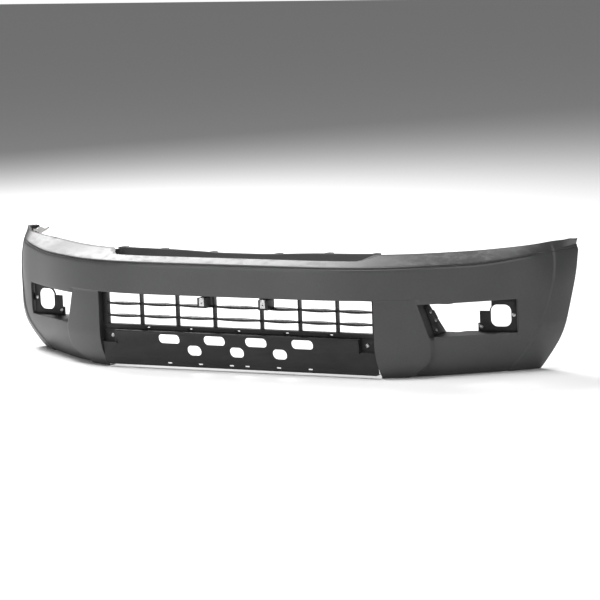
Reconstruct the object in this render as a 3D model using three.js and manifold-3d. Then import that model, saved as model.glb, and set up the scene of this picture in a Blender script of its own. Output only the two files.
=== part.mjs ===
// Front bumper cover for a mid-size off-road vehicle, as an assembly of its loose parts.
// Millimetres, +Z up, the vehicle's nose towards -Y, its right-hand wing towards +X.
// Lengths along the cover are measured as girth: the distance from the centre line,
// round the front, along the "front line" that the cover's face follows in plan.

import * as THREE from 'three';
import { mergeVertices } from 'three/addons/utils/BufferGeometryUtils.js';
import Module from 'manifold-3d';

const wasm = await Module();
wasm.setup();

// ---------------------------------------------------------------- driving dimensions
const WALL = 3;                 // moulded wall of the cover
const REACH = 502;              // fore-and-aft length of the whole assembly
const GIRTH = 1147;             // centre line to the end of a wing, at the top
const NOSE_TURN = { from: 184, to: 812, angle: 38.4 };   // sweep of the front, in degrees
const WING_TURN = { from: 882, to: 1130, angle: 45.9 };  // corner from the front to the wing

const CREASE_Z = 329;           // groove between the shoulder and the front face
const CREASE_CLIMB = [{ from: 480, to: 640, by: 2 }, { from: 740, to: 1040, by: 22 }];
const GROOVE = { deep: 4, fadeFrom: 900, fadeTo: 1010 };
const SHOULDER_DEPTH = 85;      // from the front line back to the top edge
const SHOULDER_TOP_Z = 359;
// Towards the wings the shoulder narrows to a rim, and its top edge climbs, then dips.
const SHOULDER_NARROW = [{ from: 760, to: 1000, by: -58 }, { from: 1000, to: 1090, by: -19 }];
const SHOULDER_CLIMB = [{ from: 760, to: 1050, by: 19 }, { from: 1085, to: GIRTH, by: -6 }];
const WING_FADE = { from: 880, to: 1030 };               // where the shoulder becomes the wing
const WING_LEAN = { from: 250, over: 110, by: 15 };      // the wing's top leans inwards
// A channel behind the shoulder: its front edge, floor, upstand and flange.
const RECESS = { from: 452, to: 462, front: 38, floorFrom: 43, floorTo: 106, upstand: 110, back: 124 };
const CHANNEL_Z = { floor: 335, flange: 350 };
const FLANGE_CLIMB = [{ from: 40, to: 280, by: 7 }];
const TAB = { at: [109, 274, 420], depth: 133, radius: 12, hole: 4.5 };

const BAND_Z = 236;             // lower edge of the full-width band
const LEG_STEP = 3;             // the legs stand this far behind the band
const CORNER_STEP = 17;         // the corners stand this far behind the band
// Heights between which a corner comes forward, next to a leg and out by the wing.
const CORNER_FADE = { from: 640, to: 930, low: [118, 30], high: [225, 150] };
const TUCK = { from: 110, by: 50 };                      // the chin curves under
const FLARE_STEP = 4;           // the wheel-arch flare stands this far proud
// Lines down the cover, as girth by height: the arch edge, the flare, a leg's outer edge.
const ARCH_LINE = { girth: GIRTH, height: 345, in: 152, power: 0.81 };
const FLARE_LINE = { girth: 1012, height: 360, in: 144, power: 1.7 };
const LEG_LINE = { girth: 586, top: 223, bottom: 118, slant: 0.38, foot: 70, footIn: 65 };

const OPENING = { half: 455, top: 235, back: 76 };
const GRILLE = { half: 454.4, top: 234.4, bottom: 119.8, front: 56, back: 74 };
const GRILLE_ROWS = [[133, 156.5], [161.5, 193.5], [198.5, 229]];
const GRILLE_POSTS = [78, 203, 325];
const GRILLE_POST_WIDTH = 6;
const CELL_END = 439;
const CLIP_SLOT = { at: [0, 160, 304], z: 125, width: 16, height: 5 };
const BOSS = { x: 101, z: 211, size: 30, front: 26, wall: 2.5, hole: 5 };

const VALANCE = { half: 454.4, top: 119, bottom: 9, corner: 14, wall: 3 };
// Depth and height of the valance's face, top to bottom.
const VALANCE_FACE = [[31, 119], [30, 114], [34, 98], [44, 66], [54, 34], [60, 18], [63, 9]];
const LONG_HOLE = { at: [69, 221], z: 97, width: 70, height: 28, radius: 12 };
const SHORT_HOLE = { at: [0, 142], z: 63, width: 46, height: 31, radius: 14 };
const DRAIN_SLOT = { at: [26, 130, 234], z: 20, width: 15, height: 4.5 };
const LUG = { from: 404, face: 54, sill: 80, x: 423, z: 99, hole: 3.3 };

const POCKET = { top: 221, bottom: 122, innerTop: 573, innerBottom: 602, outer: 815, wall: 3 };
const LAMP = { x: 764, y: 247, z: 170, turn: 10, width: 61, height: 65, radius: 20, collar: 6 };
const LAMP_PLATE = { inner: 702, outer: 811, thick: 3, notchX: 736, notchZ: 184 };
const LAMP_SCREWS = [[802, 173], [706, 137]];            // X and Z
const SIDE_PLATE_SCREWS = [[145, 190], [163, 163], [150, 136]];   // Y and Z
const WING_BRACKET = { x: 893, y: 440, z: 357, thick: 2.5, postEnd: 935 };
const BRACKET_BORE = { y: 3, z: -20, radius: 2.9 };      // from the bracket's own origin
const SIDE_PLATE = { thick: 2.2, y: 150, z: 163 };       // its thickness and its own origin
const NUT = { sheet: 1, width: 16, front: 9, rear: 7, hole: 2.4 };
const SCREW_BORE = 2.9;         // radius of the clearance holes for the screws
const SCREW = { shank: 2.5, length: 14, head: 5.5, headThick: 3 };
const FIT = 0.35;               // working clearance between neighbouring parts

const DEG = Math.PI / 180;

// ---------------------------------------------------------------- materials
const plastic = (name, color, roughness) => {
  const material = new THREE.MeshStandardMaterial({ color, roughness, metalness: 0 });
  material.name = name;
  return material;
};
const skinPlastic = plastic('primed_cover', 0x3c3d3e, 0.42);
const trimPlastic = plastic('moulded_trim', 0x232425, 0.55);
const clipPlastic = plastic('natural_clip', 0xc9c8c2, 0.5);
const zinc = new THREE.MeshStandardMaterial({ color: 0xb5b8ba, roughness: 0.35, metalness: 1 });
zinc.name = 'zinc_plate';

// ---------------------------------------------------------------- solids and outlines
function merged(geometry) {
  const bare = geometry.clone();
  bare.deleteAttribute('normal');
  bare.deleteAttribute('uv');
  return mergeVertices(bare, 1e-4);
}

function toSolid(geometry) {
  const bare = merged(geometry);
  return new wasm.Manifold(new wasm.Mesh({
    numProp: 3,
    vertProperties: Float32Array.from(bare.attributes.position.array),
    triVerts: Uint32Array.from(bare.index.array),
  }));
}

function toGeometry(solid) {
  const mesh = solid.getMesh();
  const geometry = new THREE.BufferGeometry();
  geometry.setAttribute('position', new THREE.BufferAttribute(mesh.vertProperties, 3));
  geometry.setIndex(new THREE.BufferAttribute(mesh.triVerts, 1));
  geometry.computeVertexNormals();
  return geometry;
}

function mirrored(geometry) {
  const copy = merged(geometry);
  copy.applyMatrix4(new THREE.Matrix4().makeScale(-1, 1, 1));
  const index = copy.index.array;
  for (let i = 0; i < index.length; i += 3) {
    [index[i], index[i + 1]] = [index[i + 1], index[i]];
  }
  copy.computeVertexNormals();
  return copy;
}

function polygon(points) {
  return new THREE.Shape(points.map(([a, b]) => new THREE.Vector2(a, b)));
}

function roundedRect(x, y, width, height, radius, PathClass = THREE.Shape) {
  const path = new PathClass();
  const a = width / 2 - radius;
  const b = height / 2 - radius;
  path.absarc(x + a, y + b, radius, 0, 90 * DEG);
  path.absarc(x - a, y + b, radius, 90 * DEG, 180 * DEG);
  path.absarc(x - a, y - b, radius, 180 * DEG, 270 * DEG);
  path.absarc(x + a, y - b, radius, 270 * DEG, 360 * DEG);
  path.closePath();
  return path;
}

function extrude(shape, depth, curveSegments = 3) {
  return new THREE.ExtrudeGeometry(shape, { depth, bevelEnabled: false, curveSegments });
}

// An outline drawn in X and Z, pushed through from y0 to y1.
function throughY(shape, y0, y1, curveSegments) {
  return extrude(shape, y1 - y0, curveSegments).rotateX(90 * DEG).translate(0, y1, 0);
}

// An outline drawn in Y and Z, pushed through from x0 to x1.
const yzToX = new THREE.Matrix4().set(0, 0, 1, 0, 1, 0, 0, 0, 0, 1, 0, 0, 0, 0, 0, 1);
function throughX(shape, x0, x1, curveSegments) {
  return extrude(shape, x1 - x0, curveSegments).applyMatrix4(yzToX).translate(x0, 0, 0);
}

function block(x0, x1, y0, y1, z0, z1) {
  const box = new THREE.BoxGeometry(x1 - x0, y1 - y0, z1 - z0);
  return box.translate((x0 + x1) / 2, (y0 + y1) / 2, (z0 + z1) / 2);
}

function cut(body, ...tools) {
  return tools.reduce((solid, tool) => solid.subtract(toSolid(tool)), body);
}

function join(body, ...tools) {
  return tools.reduce((solid, tool) => solid.add(toSolid(tool)), body);
}

const bothSides = (values) => [...values.filter((v) => v > 0).map((v) => -v).reverse(), ...values];

// ---------------------------------------------------------------- the cover's surface
function smooth(from, to, value) {
  const t = Math.min(1, Math.max(0, (value - from) / (to - from)));
  return t * t * (3 - 2 * t);
}

const mix = (a, b, t) => a + (b - a) * t;

const heading = (girth) => DEG * (
  NOSE_TURN.angle * smooth(NOSE_TURN.from, NOSE_TURN.to, girth)
  + WING_TURN.angle * smooth(WING_TURN.from, WING_TURN.to, girth));

// Plan position of the front line, summed from its heading every 2 mm.
const LINE_STEP = 2;
const frontLine = [[0, 0]];
for (let g = 0; g < GIRTH + LINE_STEP; g += LINE_STEP) {
  const [x, y] = frontLine.at(-1);
  const angle = heading(g + LINE_STEP / 2);
  frontLine.push([x + LINE_STEP * Math.cos(angle), y + LINE_STEP * Math.sin(angle)]);
}

// A point at a signed girth, a depth behind the front line, and a height.
function place(girth, depth, z) {
  const along = Math.abs(girth);
  const i = Math.floor(along / LINE_STEP);
  const t = along / LINE_STEP - i;
  const angle = heading(along);
  const x = frontLine[i][0] * (1 - t) + frontLine[i + 1][0] * t - depth * Math.sin(angle);
  const y = frontLine[i][1] * (1 - t) + frontLine[i + 1][1] * t + depth * Math.cos(angle);
  return [Math.sign(girth) * x, y, z];
}

// A value that eases from one level to the next at each of its steps along the girth.
const stepped = (start, steps, g) => steps.reduce(
  (total, { from, to, by }) => total + by * smooth(from, to, g), start);
const creaseZ = (g) => stepped(CREASE_Z, CREASE_CLIMB, g);
const shoulderDepth = (g) => stepped(SHOULDER_DEPTH, SHOULDER_NARROW, g);
const shoulderTopZ = (g) => stepped(SHOULDER_TOP_Z, SHOULDER_CLIMB, g);
const flangeZ = (g) => stepped(CHANNEL_Z.flange, FLANGE_CLIMB, g);
const wingness = (g) => smooth(WING_FADE.from, WING_FADE.to, g);

// Girth of a line that runs down the cover and inwards.
const lineAt = (line, z) => line.girth - line.in * Math.max(0, 1 - z / line.height) ** line.power;
const archEdge = (z) => lineAt(ARCH_LINE, z);
const flareLine = (z) => lineAt(FLARE_LINE, z);

function legEdge(z) {
  const { girth, top, bottom, slant, foot, footIn } = LEG_LINE;
  return girth + slant * (top - Math.max(z, bottom)) - footIn * Math.max(0, 1 - z / foot) ** 2;
}

// How far the face stands behind the front line.
function faceDepth(g, z) {
  const belowBand = 1 - smooth(BAND_Z - 2, BAND_Z + 2, z);
  const onLeg = 1 - smooth(legEdge(z) - 8, legEdge(z) + 14, g);
  const outward = smooth(CORNER_FADE.from, CORNER_FADE.to, g);
  const corner = CORNER_STEP * (1 - smooth(
    mix(...CORNER_FADE.low, outward), mix(...CORNER_FADE.high, outward), z));
  const step = belowBand * (onLeg * LEG_STEP + (1 - onLeg) * corner);
  const tuck = TUCK.by * Math.max(0, 1 - z / TUCK.from) ** 2;
  const lean = WING_LEAN.by * wingness(g) * Math.max(0, (z - WING_LEAN.from) / WING_LEAN.over) ** 2;
  const flare = FLARE_STEP * smooth(flareLine(z) - 4, flareLine(z) + 8, g);
  return step + tuck + lean - flare;
}

// The section at one girth, from the top edge down to the chin. Each row is an outer
// point and the inner point behind it, both as depth and height.
function section(g) {
  const crease = creaseZ(g);
  const topDepth = shoulderDepth(g);
  const topZ = shoulderTopZ(g);
  const recess = 1 - smooth(RECESS.from, RECESS.to, g);
  const wing = wingness(g);
  const groove = GROOVE.deep * (1 - smooth(GROOVE.fadeFrom, GROOVE.fadeTo, g));
  const base = faceDepth(g, crease);
  const shoulder = (depth) => {
    const t = (depth - 3) / (topDepth - 3);
    return [mix(base + 3, topDepth, t), mix(crease + 4, topZ, t * (1.3 - 0.3 * t))];
  };
  const rows = [];
  const row = (depth, z, pushDepth, pushZ) => {
    rows.push({ outer: [depth, z], inner: [depth + pushDepth, z + pushZ] });
  };
  const lip = [topDepth + mix(2, 8, wing), topZ - mix(9, 2, wing)];
  const lipPush = [mix(-WALL * (1 - wing), 0, recess), mix(-WALL * wing, -WALL, recess)];
  const flange = flangeZ(g);
  const floor = CHANNEL_Z.floor;
  const channel = [[RECESS.back, flange, 0], [RECESS.upstand, flange, WALL],
    [RECESS.floorTo, floor, WALL], [RECESS.floorFrom, floor, -WALL]];
  channel.forEach(([depth, z, push], i) => {
    const t = i / channel.length;
    row(mix(mix(lip[0], topDepth, t), depth, recess), mix(mix(lip[1], topZ, t), z, recess),
      mix(lipPush[0], push, recess), lipPush[1]);
  });
  row(mix(topDepth, RECESS.front + 2, recess), mix(topZ, CHANNEL_Z.floor + 7, recess),
    mix(mix(-WALL, WALL, wing), -WALL, recess), -WALL);
  const [edgeDepth, edgeZ] = shoulder(mix(0.72 * topDepth, RECESS.front, recess));
  row(edgeDepth, edgeZ, 0, -WALL);
  const [midDepth, midZ] = shoulder(0.36 * topDepth);
  row(midDepth, midZ, mix(0.5, 2.5, wing), -WALL * mix(1, 0.6, wing));
  row(base + 3, crease + 4, mix(2, 2.8, wing), mix(-4, -2, wing));
  row(base + 1 + groove, crease + 1, 2.4, -3);
  row(base + 1 + groove, crease - 1.5, 2.2, -2);
  row(base + 0.8, crease - 3.5, 3.2, -2);
  const middle = (crease + BAND_Z) / 2;
  const heights = [crease - 14, middle, BAND_Z + 3, BAND_Z - 3, 180, 118, 88, 62, 40, 22, 8];
  heights.forEach((z) => row(faceDepth(g, z), z, WALL, 1.6 * Math.max(0, 1 - z / 90)));
  row(faceDepth(g, 0) - 1, 0, 2, WALL);
  row(faceDepth(g, 0) + 18, 3, 0, WALL);
  return rows;
}

// Girths of the sections, closer together where the surface turns.
const STATIONS = [0, 110, 210, 300, 375, 432, 452, 462, 500, 545, 574, 600, 622, 645, 700, 780, 860,
  905, 935, 965, 990, 1008, 1030, 1065, 1105, GIRTH];
const STRAIGHT_TO = 700;        // outboard of this the sections follow the arch edge

function stationAt(girth, z) {
  if (girth <= STRAIGHT_TO) return girth;
  const spread = (archEdge(z) - STRAIGHT_TO) / (GIRTH - STRAIGHT_TO);
  return STRAIGHT_TO + (girth - STRAIGHT_TO) * spread;
}

// A closed shell from two matching grids of points, the first facing -Y.
function shellGeometry(outer, inner) {
  const columns = outer.length;
  const rows = outer[0].length;
  const positions = [...outer.flat(), ...inner.flat()].flat();
  const index = [];
  const at = (layer, i, j) => layer * columns * rows + i * rows + j;
  const quad = (a, b, c, d) => index.push(a, b, c, a, c, d);
  for (let i = 0; i + 1 < columns; i += 1) {
    for (let j = 0; j + 1 < rows; j += 1) {
      quad(at(0, i, j), at(0, i, j + 1), at(0, i + 1, j + 1), at(0, i + 1, j));
      quad(at(1, i, j), at(1, i + 1, j), at(1, i + 1, j + 1), at(1, i, j + 1));
    }
    quad(at(0, i, 0), at(0, i + 1, 0), at(1, i + 1, 0), at(1, i, 0));
    quad(at(0, i, rows - 1), at(1, i, rows - 1), at(1, i + 1, rows - 1), at(0, i + 1, rows - 1));
  }
  for (let j = 0; j + 1 < rows; j += 1) {
    quad(at(0, 0, j), at(1, 0, j), at(1, 0, j + 1), at(0, 0, j + 1));
    quad(at(0, columns - 1, j), at(0, columns - 1, j + 1), at(1, columns - 1, j + 1), at(1, columns - 1, j));
  }
  const geometry = new THREE.BufferGeometry();
  geometry.setAttribute('position', new THREE.Float32BufferAttribute(positions, 3));
  geometry.setIndex(index);
  return geometry;
}

// Columns run from one wing's rear lip to the other's. On the lip columns both layers are
// carried inwards, so the wheel-arch edge has a turned-in flange.
const ARCH_LIP = 12;

function coverShell() {
  const ends = [{ station: GIRTH, inset: WALL, lip: 0 }, { station: GIRTH, inset: WALL, lip: ARCH_LIP }];
  const right = [...STATIONS.slice(0, -1).map((station) => ({ station, inset: 0, lip: 0 })), ...ends];
  const left = right.slice(1).reverse().map((column) => ({ ...column, station: -column.station }));
  const rowCount = section(0).length;
  const layers = { outer: [], inner: [] };
  [...left, ...right].forEach(({ station, inset, lip }) => {
    const along = Math.abs(station);
    const side = station < 0 ? -1 : 1;
    const columns = { outer: [], inner: [] };
    for (let j = 0; j < rowCount; j += 1) {
      const girth = stationAt(along, section(along)[j].outer[1]);
      const { outer, inner } = section(girth)[j];
      columns.outer.push(place(side * girth, outer[0] + lip, outer[1]));
      const innerDepth = lip > 0 ? outer[0] + lip : inner[0];
      columns.inner.push(place(side * (girth - inset), innerDepth, inner[1]));
    }
    layers.outer.push(columns.outer);
    layers.inner.push(columns.inner);
  });
  return toSolid(shellGeometry(layers.outer, layers.inner));
}

// The space just behind the face, between two lists of girths and heights. It trims
// whatever is moulded on to the back of the cover, so that nothing breaks through.
function behindFace(stations, heights) {
  const layer = (extra) => stations.map((g) => heights.map(
    (z) => place(g, faceDepth(Math.abs(g), z) + extra, z)));
  return toSolid(shellGeometry(layer(1.2), layer(165)));
}

const FRONT_STATIONS = [0, 100, 200, 300, 400, 470, 540, 600, 650, 700, 760, 820, 870, 915];
const FRONT_HEIGHTS = [246, 237, 235, 200, 150, 115, 90, 65, 45, 28, 14, 4];
const WING_STATIONS = [1070, 1090, 1110, 1130, 1145];
const WING_HEIGHTS = [362, 350, 340, 330, 320];

// The mouth of the cover between the legs, grown by a margin for its flange.
function mouthOutline(margin) {
  const side = OPENING.half + margin;
  const top = OPENING.top + margin;
  const below = -30;
  return polygon([[-side, top], [-side, below], [side, below], [side, top]]);
}

// A lamp pocket's outline seen from the front, grown by a margin for its walls.
function pocketOutline(margin) {
  const { top, bottom, innerTop, innerBottom, outer } = POCKET;
  return polygon([[innerTop - margin, top + margin], [innerBottom - margin, bottom - margin],
    [outer + margin, bottom - margin], [outer + margin, top + margin]]);
}

// Where a lamp pocket's walls end at the back: straight across behind the lamp plate,
// and cut away on a slant at the inner wall.
function pocketBack() {
  const plan = polygon([[520, 212], [700, 256], [860, 297], [860, 420], [520, 420]]);
  const slant = polygon([[150, 226], [222, 116], [222, 112], [420, 112], [420, 240], [150, 240]]);
  return [extrude(plan, 300).translate(0, 0, 20), throughX(slant, 540, 648)];
}

// A round bore or pin along Y, or along X.
function rod(x, y, z, radius, length, alongX = false) {
  const pin = new THREE.CylinderGeometry(radius, radius, length, 10);
  if (alongX) pin.rotateZ(90 * DEG);
  return pin.translate(x, y, z);
}

const lampScrewY = (x) => LAMP.y + (x - LAMP.x) * Math.tan(LAMP.turn * DEG);
const sideWallX = (z) => mix(POCKET.innerBottom, POCKET.innerTop,
  (z - POCKET.bottom) / (POCKET.top - POCKET.bottom));
const sideTilt = Math.atan2(POCKET.innerTop - POCKET.innerBottom, POCKET.top - POCKET.bottom);

// Tabs behind the lamp plate that its two screws bite into, in the plate's own plane.
function lampTabs() {
  const frame = new THREE.Matrix4().makeRotationZ(LAMP.turn * DEG).setPosition(LAMP.x, LAMP.y, 0);
  const back = LAMP_PLATE.thick + FIT;
  const [[outerX, outerZ], [innerX, innerZ]] = LAMP_SCREWS;
  const tabs = [
    block(outerX - 3.6 - LAMP.x, 55, back, back + 3, outerZ - 11, outerZ + 11),
    block(innerX - 11 - LAMP.x, innerX + 11 - LAMP.x, back, back + 3, POCKET.bottom - 2, innerZ + 11),
  ];
  return tabs.map((tab) => tab.applyMatrix4(frame));
}

// Tongues along the back of the shelf, each with a round hole for a grille clip.
function shelfTabs() {
  const tabs = [];
  const holes = [];
  bothSides(TAB.at).forEach((x) => {
    const girth = Math.abs(x) + 1;
    const [, y] = place(girth, TAB.depth, 0);
    const z = flangeZ(girth);
    const outline = new THREE.Shape();
    outline.moveTo(x - TAB.radius, y - 18);
    outline.lineTo(x + TAB.radius, y - 18);
    outline.lineTo(x + TAB.radius, y);
    outline.absarc(x, y, TAB.radius, 0, 180 * DEG);
    outline.closePath();
    tabs.push(extrude(outline, WALL).translate(0, 0, z - WALL));
    holes.push(new THREE.CylinderGeometry(TAB.hole, TAB.hole, 20, 16).rotateX(90 * DEG).translate(x, y, z));
  });
  return { tabs, holes };
}

function coverSkin() {
  const behind = behindFace(bothSides(FRONT_STATIONS), FRONT_HEIGHTS);
  const mouthWall = toSolid(throughY(mouthOutline(WALL), -20, OPENING.back));
  let pocketWall = cut(toSolid(throughY(pocketOutline(POCKET.wall), 0, 330)),
    throughY(pocketOutline(0), -10, 340), ...pocketBack());
  pocketWall = join(pocketWall, ...lampTabs());
  const rightPocket = toGeometry(pocketWall);
  const walls = join(mouthWall, rightPocket, mirrored(rightPocket)).intersect(behind);
  const window = throughY(pocketOutline(0), -40, 320);
  const { tabs, holes } = shelfTabs();
  let skin = cut(coverShell(), window, mirrored(window)).add(walls);
  skin = cut(skin, throughY(mouthOutline(0), -40, 200));

  // Tabs beside the mouth, behind the ends of the valance, and pads inside the wings.
  const lugTab = block(LUG.from + 4, OPENING.half + 1, LUG.face + 3.4, LUG.face + 6.4, 88, 110);
  const { x, y, z, thick, postEnd } = WING_BRACKET;
  const pad = toSolid(block(x + thick + FIT, postEnd, y - 6, y + 12, z - 28, z - 12));
  const post = toGeometry(pad.intersect(behindFace(WING_STATIONS, WING_HEIGHTS)));
  skin = join(skin, lugTab, mirrored(lugTab), post, mirrored(post), ...tabs);
  const bores = [
    rod(LUG.x, LUG.face, LUG.z, LUG.hole, 40),
    rod(x + thick, y + BRACKET_BORE.y, z + BRACKET_BORE.z, BRACKET_BORE.radius, 36, true),
  ];
  LAMP_SCREWS.forEach(([screwX, screwZ]) => {
    bores.push(rod(0, 0, 0, SCREW_BORE, 40).rotateZ(LAMP.turn * DEG)
      .translate(screwX, lampScrewY(screwX), screwZ));
  });
  SIDE_PLATE_SCREWS.forEach(([screwY, screwZ]) => {
    bores.push(rod(0, 0, 0, SCREW_BORE, 24, true).rotateY(sideTilt)
      .translate(sideWallX(screwZ), screwY, screwZ));
  });
  return cut(skin, ...holes, ...bores, ...bores.map(mirrored));
}

// ---------------------------------------------------------------- grille and valance
function lowerGrille() {
  const { half, top, bottom, front, back } = GRILLE;
  const edges = [-CELL_END, ...bothSides(GRILLE_POSTS).flatMap(
    (x) => [x - GRILLE_POST_WIDTH / 2, x + GRILLE_POST_WIDTH / 2]), CELL_END];
  const cells = [];
  for (let i = 0; i < edges.length; i += 2) {
    GRILLE_ROWS.forEach(([z0, z1]) => cells.push(block(edges[i], edges[i + 1], front - 1, back + 1, z0, z1)));
  }
  bothSides(CLIP_SLOT.at).forEach((x) => {
    const [w, h] = [CLIP_SLOT.width / 2, CLIP_SLOT.height / 2];
    cells.push(block(x - w, x + w, front - 1, back + 1, CLIP_SLOT.z - h, CLIP_SLOT.z + h));
  });
  let grille = cut(toSolid(block(-half, half, front, back, bottom, top)), ...cells);
  bothSides([BOSS.x]).forEach((x) => {
    const r = BOSS.size / 2;
    grille = join(grille, block(x - r, x + r, BOSS.front, back - 1, BOSS.z - r, BOSS.z + r));
    grille = cut(grille,
      block(x - r + BOSS.wall, x + r - BOSS.wall, BOSS.front + BOSS.wall, back + 5,
        BOSS.z - r + BOSS.wall, BOSS.z + r - BOSS.wall),
      block(x - 8.5, x + 8.5, BOSS.front + BOSS.wall, BOSS.front + 20, BOSS.z, BOSS.z + r + 5),
      rod(x, BOSS.front, BOSS.z, BOSS.hole, 20));
  });
  return toGeometry(grille);
}

function lowerValance() {
  const { half, top, bottom, corner, wall } = VALANCE;
  const inside = (z) => Math.min(top - wall, Math.max(bottom + wall, z));
  const back = VALANCE_FACE.map(([y, z]) => [y + wall, inside(z)]).reverse();
  const section = polygon([[GRILLE.front + 8, top], ...VALANCE_FACE, [84, bottom], [84, bottom + wall],
    ...back, [GRILLE.front + 8, top - wall]]);
  let panel = toSolid(throughX(section, -half, half));
  const outline = new THREE.Shape();
  outline.moveTo(-half, top + 1);
  outline.lineTo(-half, bottom + corner);
  outline.absarc(-half + corner, bottom + corner - 1, corner, 180 * DEG, 270 * DEG);
  outline.absarc(half - corner, bottom + corner - 1, corner, 270 * DEG, 360 * DEG);
  outline.lineTo(half, top + 1);
  outline.closePath();
  panel = panel.intersect(toSolid(throughY(outline, 0, 120, 5)));

  // The ends stand back as lugs, each closed by a side wall and a sill.
  const notch = block(LUG.from, half + 1, 0, LUG.face, LUG.sill, top + 1);
  const lug = block(LUG.from - wall, half, LUG.face, LUG.face + wall, LUG.sill - wall, top);
  const side = block(LUG.from - wall, LUG.from, 34, LUG.face + wall, LUG.sill - wall, top);
  const sill = block(LUG.from - wall, half, 41, LUG.face + wall, LUG.sill - wall, LUG.sill);
  const lugs = [lug, side, sill];
  panel = cut(panel, notch, mirrored(notch));
  panel = join(panel, ...lugs, ...lugs.map(mirrored));

  const openings = [];
  [LONG_HOLE, SHORT_HOLE].forEach(({ at, z, width, height, radius }) => {
    bothSides(at).forEach((x) => openings.push(roundedRect(x, z, width, height, radius)));
  });
  bothSides(DRAIN_SLOT.at).forEach((x) => {
    openings.push(roundedRect(x, DRAIN_SLOT.z, DRAIN_SLOT.width, DRAIN_SLOT.height, 2));
  });
  const bores = [rod(LUG.x, LUG.face, LUG.z, LUG.hole, 30)];
  panel = cut(panel, ...openings.map((shape) => throughY(shape, 10, 75)), ...bores, ...bores.map(mirrored));
  return toGeometry(panel);
}

// ---------------------------------------------------------------- lamp plates and side plates
// The lamp plate lies in its own frame: X across it, its front face at Y = 0.
function lampPlate() {
  const inner = (LAMP_PLATE.inner - LAMP.x) / Math.cos(LAMP.turn * DEG);
  const outer = (LAMP_PLATE.outer - LAMP.x) / Math.cos(LAMP.turn * DEG);
  const notch = LAMP_PLATE.notchX - LAMP.x;
  const floor = POCKET.bottom + FIT;
  const ceiling = POCKET.top - FIT;
  const outline = polygon([[inner, floor], [outer, floor], [outer, ceiling], [notch, ceiling],
    [notch, LAMP_PLATE.notchZ], [inner, LAMP_PLATE.notchZ]]);
  const hole = [LAMP.width, LAMP.height, LAMP.radius];
  const rim = 3;
  const collar = roundedRect(0, LAMP.z, LAMP.width + 2 * rim, LAMP.height + 2 * rim, LAMP.radius + rim);
  collar.holes.push(roundedRect(0, LAMP.z, ...hole, THREE.Path));
  let plate = toSolid(throughY(outline, 0, LAMP_PLATE.thick));
  plate = cut(plate, throughY(roundedRect(0, LAMP.z, ...hole), -5, 10));
  plate = join(plate, throughY(collar, 0.5, LAMP.collar));
  LAMP_SCREWS.forEach(([x, z]) => {
    const across = (x - LAMP.x) / Math.cos(LAMP.turn * DEG);
    plate = cut(plate, rod(across, 0, z, SCREW_BORE, 20));
  });
  return toGeometry(plate);
}

// The side plate hangs on the pocket's slanting inner wall, in a frame of its own:
// Y back along the wall, Z up the wall, X out of it. Its holes take three screws.
function sidePlatePoint([y, z]) {
  return [y - SIDE_PLATE.y, (z - SIDE_PLATE.z) / Math.cos(sideTilt)];
}

function sidePlate() {
  const corners = [[118, 212], [146, 212], [158, 196], [176, 190], [186, 168], [176, 152], [196, 144],
    [206, 122], [132, 122], [128, 160]];
  const outline = polygon(corners.map(sidePlatePoint));
  let plate = toSolid(throughX(outline, 0, SIDE_PLATE.thick));
  SIDE_PLATE_SCREWS.forEach((point) => {
    const [y, z] = sidePlatePoint(point);
    plate = cut(plate, rod(0, y, z, SCREW_BORE, 10, true));
  });
  return toGeometry(plate);
}

// ---------------------------------------------------------------- small metal and clip parts
// A spring-steel nut that straddles the front wall of a plate boss.
function plateNut() {
  const { sheet, width } = NUT;
  const front = BOSS.front - FIT - sheet;
  const rear = BOSS.front + BOSS.wall + FIT;
  const top = BOSS.size / 2 + FIT;
  const strap = polygon([[front, -NUT.front], [front + sheet, -NUT.front], [front + sheet, top], [rear, top],
    [rear, -NUT.rear], [rear + sheet, -NUT.rear], [rear + sheet, top + sheet], [front, top + sheet]]);
  const nut = toSolid(throughX(strap, -width / 2, width / 2));
  return toGeometry(cut(nut, rod(0, BOSS.front, 0, NUT.hole, 20)));
}

// A hooked retainer on the inside of a wing's rear top corner, seen along X.
function wingBracket() {
  const outline = polygon([[-6, -30], [12, -30], [12, -9], [24, -7], [44, -4], [60, 0], [62, 6], [58, 7],
    [44, 4], [28, 3], [16, 9], [4, 12], [-8, 12], [-14, 8], [-24, 8], [-38, 10], [-38, 4], [-24, 1],
    [-6, -6]]);
  const plate = toSolid(throughX(outline, 0, WING_BRACKET.thick));
  return toGeometry(cut(plate, rod(0, BRACKET_BORE.y, BRACKET_BORE.z, BRACKET_BORE.radius, 20, true)));
}

// A flanged pan-head screw pointing along +Y.
function screw() {
  const { shank, length, head, headThick } = SCREW;
  const profile = [[0, 0], [head * 0.6, 0], [head * 0.76, 1.6], [head, 2.2], [head, headThick],
    [shank, headThick], [shank, headThick + length - 3], [0, headThick + length]];
  const points = profile.map(([radius, along]) => new THREE.Vector2(radius, along - headThick));
  return new THREE.LatheGeometry(points, 10);
}

// ---------------------------------------------------------------- assembly
const bumper = new THREE.Group();
bumper.position.y = -REACH / 2;

function add(name, geometry, material, parent = bumper) {
  const mesh = new THREE.Mesh(geometry, material.clone());
  mesh.name = name;
  parent.add(mesh);
  return mesh;
}

add('cover_skin', toGeometry(coverSkin()), skinPlastic);
add('lower_grille', lowerGrille(), trimPlastic);
add('lower_valance', lowerValance(), trimPlastic);

const plateGeometry = lampPlate();
const sideGeometry = sidePlate();
const nutGeometry = plateNut();
const bracketGeometry = wingBracket();
const screwGeometry = screw();
const sides = [{ name: 'right', sign: 1, hand: (g) => g }, { name: 'left', sign: -1, hand: mirrored }];

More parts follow.
